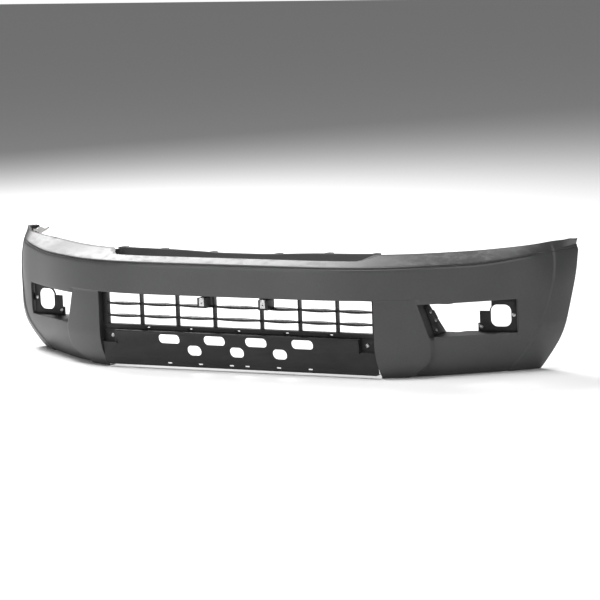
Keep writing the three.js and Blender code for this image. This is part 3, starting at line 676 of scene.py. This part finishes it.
uprights = [(x - POST_WIDTH / 2, x + POST_WIDTH / 2, front + 0.6, back, 130, 231) for x in posts]
ends = [(*sorted((side * CELL_END, side * half)), front, back, 121, 233) for side in (1, -1)]
bosses = [(x - BOSS["half"], x + BOSS["half"], BOSS["front"], back - 1, BOSS["z"] - BOSS["half"],
           BOSS["z"] + BOSS["half"]) for x in both_sides([BOSS["x"]])]
union_blocks(grille, uprights + ends + bosses)
inner = BOSS["half"] - BOSS["wall"]
hollows = []
for x in both_sides([BOSS["x"]]):
    behind_face = BOSS["front"] + BOSS["wall"]
    hollows.append((x - inner, x + inner, behind_face, back + 5, BOSS["z"] - inner, BOSS["z"] + inner))
    hollows.append((x - NUT_SLOT / 2, x + NUT_SLOT / 2, behind_face, BOSS["front"] + 20, BOSS["z"],
                    BOSS["z"] + BOSS["half"] + 5))
for x in sorted(set(both_sides(CLIP_SLOT["at"]))):
    w, h = CLIP_SLOT["width"] / 2, CLIP_SLOT["height"] / 2
    hollows.append((x - w, x + w, front - 1, back + 1, CLIP_SLOT["z"] - h, CLIP_SLOT["z"] + h))
union_blocks(grille, hollows, "DIFFERENCE")
for x in both_sides([BOSS["x"]]):
    bm = bmesh.new()
    turn = Matrix.Translation((x, BOSS["front"], BOSS["z"])) @ Matrix.Rotation(math.pi / 2, 4, "X")
    bmesh.ops.create_cone(bm, cap_ends=True, segments=32, radius1=BOSS["hole"], radius2=BOSS["hole"],
                          depth=12, matrix=turn)
    boolean(grille, from_bmesh("tool", bm), "DIFFERENCE")
modifier(grille, "BEVEL", limit_method="ANGLE", width=0.8 * MM, segments=2, use_clamp_overlap=True)
bake_modifiers(grille, 35)


def repeat_tree(name, material):
    """Geometry Nodes: one shaped part set out on points that carry a turn and a stretch."""
    tree = bpy.data.node_groups.new(name, "GeometryNodeTree")
    tree.interface.new_socket("Points", in_out="INPUT", socket_type="NodeSocketGeometry")
    tree.interface.new_socket("Part", in_out="INPUT", socket_type="NodeSocketObject")
    tree.interface.new_socket("Size", in_out="INPUT", socket_type="NodeSocketFloat")
    tree.interface.new_socket("Mesh", in_out="OUTPUT", socket_type="NodeSocketGeometry")
    made = {}
    for key in ("NodeGroupInput", "NodeGroupOutput", "GeometryNodeObjectInfo", "GeometryNodeInstanceOnPoints",
                "GeometryNodeRealizeInstances", "GeometryNodeSetMaterial", "ShaderNodeVectorMath"):
        made[key] = tree.nodes.new(key)
    turn, stretch = (tree.nodes.new("GeometryNodeInputNamedAttribute") for _ in range(2))
    for node, attribute in ((turn, "turn"), (stretch, "stretch")):
        node.data_type = "FLOAT_VECTOR"
        node.inputs["Name"].default_value = attribute
    scale = made["ShaderNodeVectorMath"]
    scale.operation = "SCALE"
    points, info = made["GeometryNodeInstanceOnPoints"], made["GeometryNodeObjectInfo"]
    given = made["NodeGroupInput"].outputs
    tree.links.new(given["Part"], info.inputs["Object"])
    tree.links.new(stretch.outputs["Attribute"], scale.inputs[0])
    tree.links.new(given["Size"], scale.inputs["Scale"])
    tree.links.new(given["Points"], points.inputs["Points"])
    tree.links.new(info.outputs["Geometry"], points.inputs["Instance"])
    tree.links.new(turn.outputs["Attribute"], points.inputs["Rotation"])
    tree.links.new(scale.outputs[0], points.inputs["Scale"])
    tree.links.new(points.outputs[0], made["GeometryNodeRealizeInstances"].inputs[0])
    tree.links.new(made["GeometryNodeRealizeInstances"].outputs[0], made["GeometryNodeSetMaterial"].inputs[0])
    made["GeometryNodeSetMaterial"].inputs["Material"].default_value = material
    tree.links.new(made["GeometryNodeSetMaterial"].outputs[0], made["NodeGroupOutput"].inputs[0])
    return tree


def set_out(name, part, spots, material, sharp_angle):
    """A plain mesh of one part repeated at spots: (place, turn as XYZ angles, stretch)."""
    mesh = bpy.data.meshes.new(name)
    mesh.from_pydata([(x * MM, (y - CENTRE_Y) * MM, z * MM) for (x, y, z), _, _ in spots], [], [])
    for key, index in (("turn", 1), ("stretch", 2)):
        values = mesh.attributes.new(key, "FLOAT_VECTOR", "POINT")
        for i, row in enumerate(spots):
            values.data[i].vector = row[index]
    obj = new_object(name, mesh)
    tree = repeat_tree(name + "_layout", material)
    nodes = modifier(obj, "NODES", node_group=tree)
    for item in tree.interface.items_tree:
        if item.in_out == "INPUT" and item.name == "Part":
            nodes[item.identifier] = part
        if item.in_out == "INPUT" and item.name == "Size":
            nodes[item.identifier] = 1.0
    bake_modifiers(obj, sharp_angle)
    bpy.data.objects.remove(part)
    return obj


def plain_part(name, bm):
    """A part in millimetres about its own origin, as an object in metres."""
    for v in bm.verts:
        v.co *= MM
    mesh = bpy.data.meshes.new(name)
    bm.to_mesh(mesh)
    bm.free()
    return new_object(name, mesh)


# One slat's length between two posts, a metre long here and stretched to each cell:
# a rounded ribbon whose front edge dips between the posts.
slat = bmesh.new()
ribbon = [(-8.6, -2.6), (-7.6, -3.5), (7.0, -2.6), (8.2, -1.6), (8.2, 1.6), (7.2, 2.7), (-7.2, 3.3),
          (-8.6, 2.3)]
steps = 20
rings = []
for k in range(steps + 1):
    along = k / steps - 0.5
    dip = math.cos(math.pi * along) ** 1.4
    ring = []
    for y, z in ribbon:
        forward = (8.4 - y) / 16.8
        ring.append(slat.verts.new((along * 1000, y, z + SLAT_DIP * (dip - 0.35) * (0.5 - forward))))
    rings.append(ring)
for a, b in zip(rings, rings[1:]):
    for k in range(len(ribbon)):
        slat.faces.new((a[k], b[k], b[(k + 1) % len(ribbon)], a[(k + 1) % len(ribbon)]))
slat.faces.new(rings[0])
slat.faces.new(reversed(rings[-1]))
bmesh.ops.recalc_face_normals(slat, faces=slat.faces)
edges = [-CELL_END] + posts + [CELL_END]
slat_spots = []
for z in (159.0, 196.0):
    for x0, x1 in zip(edges, edges[1:]):
        slat_spots.append((((x0 + x1) / 2, 65.2, z), (0, 0, 0), ((x1 - x0) * MM, 1, 1)))
slats = set_out("grille_slats", plain_part("slat", slat), slat_spots, trim, 50)
for piece in (grille, slats):
    settle(piece, trim, ["lower_grille"])

# ------------------------------------------------------------------ lower valance
# The perforated panel that closes the mouth below the grille: black polypropylene, 3 mm,
# injection moulded. A screw through a lug at each end holds it to the cover.


def refined(node, name, width, material):
    """A node's own shape with its corners rounded off, as the piece that replaces it."""
    bm = bmesh.new()
    bm.from_mesh(bpy.data.objects[node].data)
    bmesh.ops.transform(bm, matrix=bpy.data.objects[node].matrix_world, verts=bm.verts)
    bmesh.ops.remove_doubles(bm, verts=bm.verts, dist=0.00002)
    bmesh.ops.dissolve_limit(bm, angle_limit=math.radians(1.0), verts=bm.verts, edges=bm.edges)
    mesh = bpy.data.meshes.new(name)
    bm.to_mesh(mesh)
    bm.free()
    obj = new_object(name, mesh)
    modifier(obj, "BEVEL", limit_method="ANGLE", angle_limit=math.radians(30), width=width * MM,
             segments=2, use_clamp_overlap=True)
    bake_modifiers(obj, 35)
    settle(obj, material, [node])


refined("lower_valance", "valance", 0.9, trim)

# ------------------------------------------------------------------ lamp plates and side plates
# A lamp plate stands across the back of each pocket, with a collar for the fog lamp; a side
# plate lies on the pocket's slanting inner wall. Both are moulded in black and screwed on.
for hand in ("right", "left"):
    refined("fog_lamp_plate_" + hand, "lamp_plate_" + hand, 0.5, trim)
    refined("pocket_side_plate_" + hand, "side_plate_" + hand, 0.5, trim)

# ------------------------------------------------------------------ wing brackets
# Hooked retainers at the rear top corners: natural nylon, injection moulded, pale and a
# little translucent. Each is screwed to a post inside the wing.
nylon, shader, spot, facing = new_material("natural_clip", Subsurface_Weight=0.25,
                                           Subsurface_Scale=0.003)
cloud = spot.noise(60.0, 3.0, 0.5)
speck = spot.noise(520.0, 3.0, 0.6)
finish_material(shader, cloud.between(0.3, 0.7).blend(grey(0.50, 0.03), grey(0.62, 0.03)),
                0.34 + cloud * 0.1 + speck * 0.06, speck, 0.12, 0.0006)
for hand in ("right", "left"):
    refined("wing_bracket_" + hand, "bracket_" + hand, 0.5, nylon)

# ------------------------------------------------------------------ plate nuts
# Nuts bent from a strip of spring steel, zinc plated. Each straddles the front wall of a
# boss in the grille and takes a number-plate screw.
zinc, shader, spot, facing = new_material("zinc_plate", Metallic=1.0)
spangle = spot.node("TexVoronoi", {}, {"Vector": spot, "Scale": 700.0})
cloud = spot.noise(300.0, 4.0, 0.6)
finish_material(shader, cloud.between(0.3, 0.7).blend(grey(0.40, -0.02), grey(0.62, 0.01)),
                0.24 + cloud * 0.16 + spangle * 0.05, cloud, 0.10, 0.0004)
for hand in ("right", "left"):
    refined("plate_nut_" + hand, "nut_" + hand, 0.25, zinc)

# ------------------------------------------------------------------ screws
# Flanged pan-head screws with a cross recess, zinc plated. They form their own thread in
# the plastic and hold the valance, the lamp plates, the side plates and the brackets.
HEAD, SHANK, CORE, SCREW_LENGTH, PITCH = 5.5, 2.5, 1.75, 14.0, 1.6
screw = bmesh.new()
profile = [(0.0, -3.0), (3.0, -2.95), (3.75, -2.6), (4.1, -1.7), (4.35, -1.15), (5.3, -0.9),
           (HEAD, -0.6), (HEAD, 0.0), (SHANK, 0.0)]
along = 0.8
while along < SCREW_LENGTH - 3:
    profile += [(CORE, along), (CORE, along + PITCH * 0.4), (SHANK, along + PITCH * 0.7)]
    along += PITCH
profile += [(CORE, SCREW_LENGTH - 2.4), (0.4, SCREW_LENGTH - 0.1), (0.0, SCREW_LENGTH)]
SEGMENTS = 28
rings = []
for radius, y in profile:
    if radius == 0:
        rings.append([screw.verts.new((0, y, 0))] * SEGMENTS)
        continue
    turns = [2 * math.pi * k / SEGMENTS for k in range(SEGMENTS)]
    rings.append([screw.verts.new((radius * math.cos(t), y, radius * math.sin(t))) for t in turns])
for a, b in zip(rings, rings[1:]):
    for k in range(SEGMENTS):
        corners = [a[k], a[(k + 1) % SEGMENTS], b[(k + 1) % SEGMENTS], b[k]]
        unique = list(dict.fromkeys(corners))
        screw.faces.new(unique)
bmesh.ops.recalc_face_normals(screw, faces=screw.faces)
screw_part = plain_part("screw", screw)
for turn in (0.0, math.pi / 2):
    slot_bm = bmesh.new()
    cross = block(slot_bm, -2.6, 2.6, -4.0, -1.5, -0.55, 0.55)
    bmesh.ops.rotate(slot_bm, verts=cross, cent=(0, 0, 0), matrix=Matrix.Rotation(turn + 0.4, 3, "Y"))
    boolean(screw_part, plain_part("tool", slot_bm), "DIFFERENCE")

SIDE_PLATE = {"thick": 2.2, "y": 150.0, "z": 163.0}
SIDE_PLATE_SCREWS = [(145.0, 190.0), (163.0, 163.0), (150.0, 136.0)]
VALANCE_LUG = {"x": 423.0, "face": 54.0, "z": 99.0}
tilt = math.atan2(POCKET["inner_top"] - POCKET["inner_bottom"], POCKET["top"] - POCKET["bottom"])
screw_spots, screw_nodes = [], []
for side, hand in ((1, "right"), (-1, "left")):
    for i, (x, z) in enumerate(LAMP_SCREWS):
        across = (x - LAMP["x"]) / math.cos(LAMP["turn"])
        spot_at = lamp_frame(side) @ Vector((across, -FIT, z))
        screw_spots.append((tuple(spot_at), (0, 0, side * LAMP["turn"]), (1, 1, 1)))
        screw_nodes.append(f"lamp_plate_screw_{hand}_{i + 1}")
    wall_x = float(pocket_inner_x(SIDE_PLATE["z"])) + FIT
    wall = Matrix.Translation((side * wall_x, SIDE_PLATE["y"], SIDE_PLATE["z"]))
    wall = wall @ Matrix.Rotation(side * tilt, 4, "Y")
    for i, (y, z) in enumerate(SIDE_PLATE_SCREWS):
        local = Vector((side * (SIDE_PLATE["thick"] + FIT), y - SIDE_PLATE["y"],
                        (z - SIDE_PLATE["z"]) / math.cos(tilt)))
        turned = wall.to_3x3() @ Matrix.Rotation(side * math.pi / 2, 3, "Z")
        screw_spots.append((tuple(wall @ local), tuple(turned.to_euler("XYZ")), (1, 1, 1)))
        screw_nodes.append(f"side_plate_screw_{hand}_{i + 1}")
    bracket_at = (side * (BRACKET["x"] - FIT), BRACKET["y"] + 3, BRACKET["z"] - 20)
    screw_spots.append((bracket_at, (0, 0, -side * math.pi / 2), (1, 1, 1)))
    screw_nodes.append("wing_bracket_screw_" + hand)
    lug_at = (side * VALANCE_LUG["x"], VALANCE_LUG["face"] - FIT, VALANCE_LUG["z"])
    screw_spots.append((lug_at, (0, 0, 0), (1, 1, 1)))
    screw_nodes.append("valance_screw_" + hand)
screws = set_out("screws", screw_part, screw_spots, zinc, 30)
settle(screws, zinc, screw_nodes)

# ------------------------------------------------------------------ studio
# A pale floor under the part, a dim white room, and large soft lights: one above and behind for the shoulder,
# one high in front, one low at the left, and one at the right.
world = bpy.data.worlds.new("room")
scene.world = world
world.use_nodes = True
room = world.node_tree
seen, lit = room.nodes["Background"], room.nodes.new("ShaderNodeBackground")
seen.inputs["Color"].default_value = (1, 1, 1, 1)
lit.inputs["Color"].default_value = (1, 1, 1, 1)
lit.inputs["Strength"].default_value = 0.18
either, ray = room.nodes.new("ShaderNodeMixShader"), room.nodes.new("ShaderNodeLightPath")
room.links.new(ray.outputs["Is Camera Ray"], either.inputs[0])
room.links.new(lit.outputs[0], either.inputs[1])
room.links.new(seen.outputs[0], either.inputs[2])
room.links.new(either.outputs[0], room.nodes["World Output"].inputs["Surface"])
scene.view_settings.view_transform = "Standard"

bm = bmesh.new()
bmesh.ops.create_grid(bm, x_segments=1, y_segments=1, size=20)
mesh = bpy.data.meshes.new("floor")
bm.to_mesh(mesh)
bm.free()
mesh.transform(Matrix.Translation((0, 0, -0.0005)))
floor = new_object("floor", mesh)
paper, shader, spot, facing = new_material("floor_paper", Specular_IOR_Level=0.2)
tooth = spot.noise(90.0, 4.0, 0.6)
finish_material(shader, tooth.blend(grey(0.86), grey(0.88)), 0.8 + tooth * 0.1, tooth, 0.05, 0.001)
floor.data.materials.append(paper)


def soft_light(name, azimuth, elevation, distance, width, height, power):
    """A rectangle of soft light, aimed at the middle of the part."""
    data = bpy.data.lights.new(name, "AREA")
    data.shape, data.size, data.size_y, data.energy = "RECTANGLE", width, height, power
    obj = bpy.data.objects.new(name, data)
    turn, rise = math.radians(azimuth), math.radians(elevation)
    direction = Vector((math.sin(turn) * math.cos(rise), -math.cos(turn) * math.cos(rise), math.sin(rise)))
    obj.matrix_world = direction.to_track_quat("Z", "Y").to_matrix().to_4x4()
    obj.matrix_world.translation = direction * distance + Vector((0, 0, 0.2))
    obj.visible_camera = False
    scene.collection.objects.link(obj)


soft_light("behind_and_above", 232, 42, 5.0, 3.0, 2.6, 330)
soft_light("overhead_front", -14, 72, 4.2, 3.0, 1.5, 170)
soft_light("left_front", -26, 14, 4.2, 1.2, 1.2, 34)
soft_light("right_front", 58, 24, 4.2, 1.2, 1.2, 30)

AZIMUTH, ELEVATION, ROLL, DISTANCE = math.radians(26), math.radians(8.5), math.radians(2.036), 9.269
backward = Vector((math.sin(AZIMUTH) * math.cos(ELEVATION), -math.cos(AZIMUTH) * math.cos(ELEVATION),
                   math.sin(ELEVATION)))
level = Vector((math.cos(AZIMUTH), math.sin(AZIMUTH), 0))
above = backward.cross(level)
camera_right = level * math.cos(ROLL) - above * math.sin(ROLL)
camera_up = level * math.sin(ROLL) + above * math.cos(ROLL)
lens = bpy.data.cameras.new("camera")
lens.lens, lens.sensor_width = 180, 36
camera = new_object("camera", lens)
stand = Matrix((camera_right, camera_up, backward)).transposed().to_4x4()
stand.translation = Vector((0, 0.2338, 0.155)) + backward * DISTANCE
camera.matrix_world = stand
scene.camera = camera
